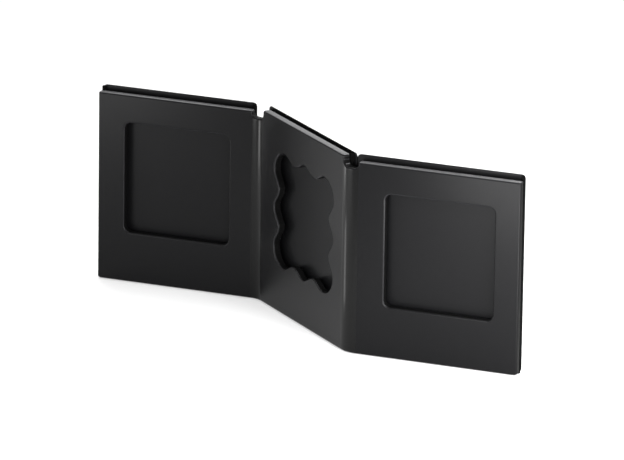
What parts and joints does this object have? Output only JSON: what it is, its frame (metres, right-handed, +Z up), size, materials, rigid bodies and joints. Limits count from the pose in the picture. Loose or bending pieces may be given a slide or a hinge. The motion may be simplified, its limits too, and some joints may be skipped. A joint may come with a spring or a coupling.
{
  "type": "multi photo frame",
  "caption": "Free-standing zigzag picture display: a bent glossy black acrylic sheet with square and wavy openings, and slide-in pockets behind it.",
  "frame": {"origin": "centre of the footprint's bounding box, on the surface that the display stands on", "axes": "+X along the two parallel outer panels, to the right seen from the front; +Y out of the back; +Z up"},
  "size_m": [0.3792, 0.1076, 0.15],
  "materials": {
    "black_acrylic": "polished black acrylic",
    "black_plate": "polished thin black acrylic plate",
    "black_strip": "matte black spacer strip",
    "black_card": "smooth satin charcoal card"
  },
  "bodies": {
    "frame": {"front_sheet": "black_acrylic", "left_back_plate": "black_plate", "centre_back_plate": "black_plate", "right_back_plate": "black_plate", "left_spacer_at_left_end": "black_strip", "left_spacer_at_right_end": "black_strip", "left_bottom_spacer": "black_strip", "centre_spacer_at_left_end": "black_strip", "centre_spacer_at_right_end": "black_strip", "centre_bottom_spacer": "black_strip", "right_spacer_at_left_end": "black_strip", "right_spacer_at_right_end": "black_strip", "right_bottom_spacer": "black_strip"},
    "left_card": {"left_card": "black_card"},
    "centre_card": {"centre_card": "black_card"},
    "right_card": {"right_card": "black_card"}
  },
  "joints": [
    {"name": "left_card_slide", "type": "slide", "parent": "frame", "child": "left_card", "axis": [0, 0, 1], "range_m": [0, 0.142]},
    {"name": "centre_card_slide", "type": "slide", "parent": "frame", "child": "centre_card", "axis": [0, 0, 1], "range_m": [0, 0.142]},
    {"name": "right_card_slide", "type": "slide", "parent": "frame", "child": "right_card", "axis": [0, 0, 1], "range_m": [0, 0.142]}
  ]
}
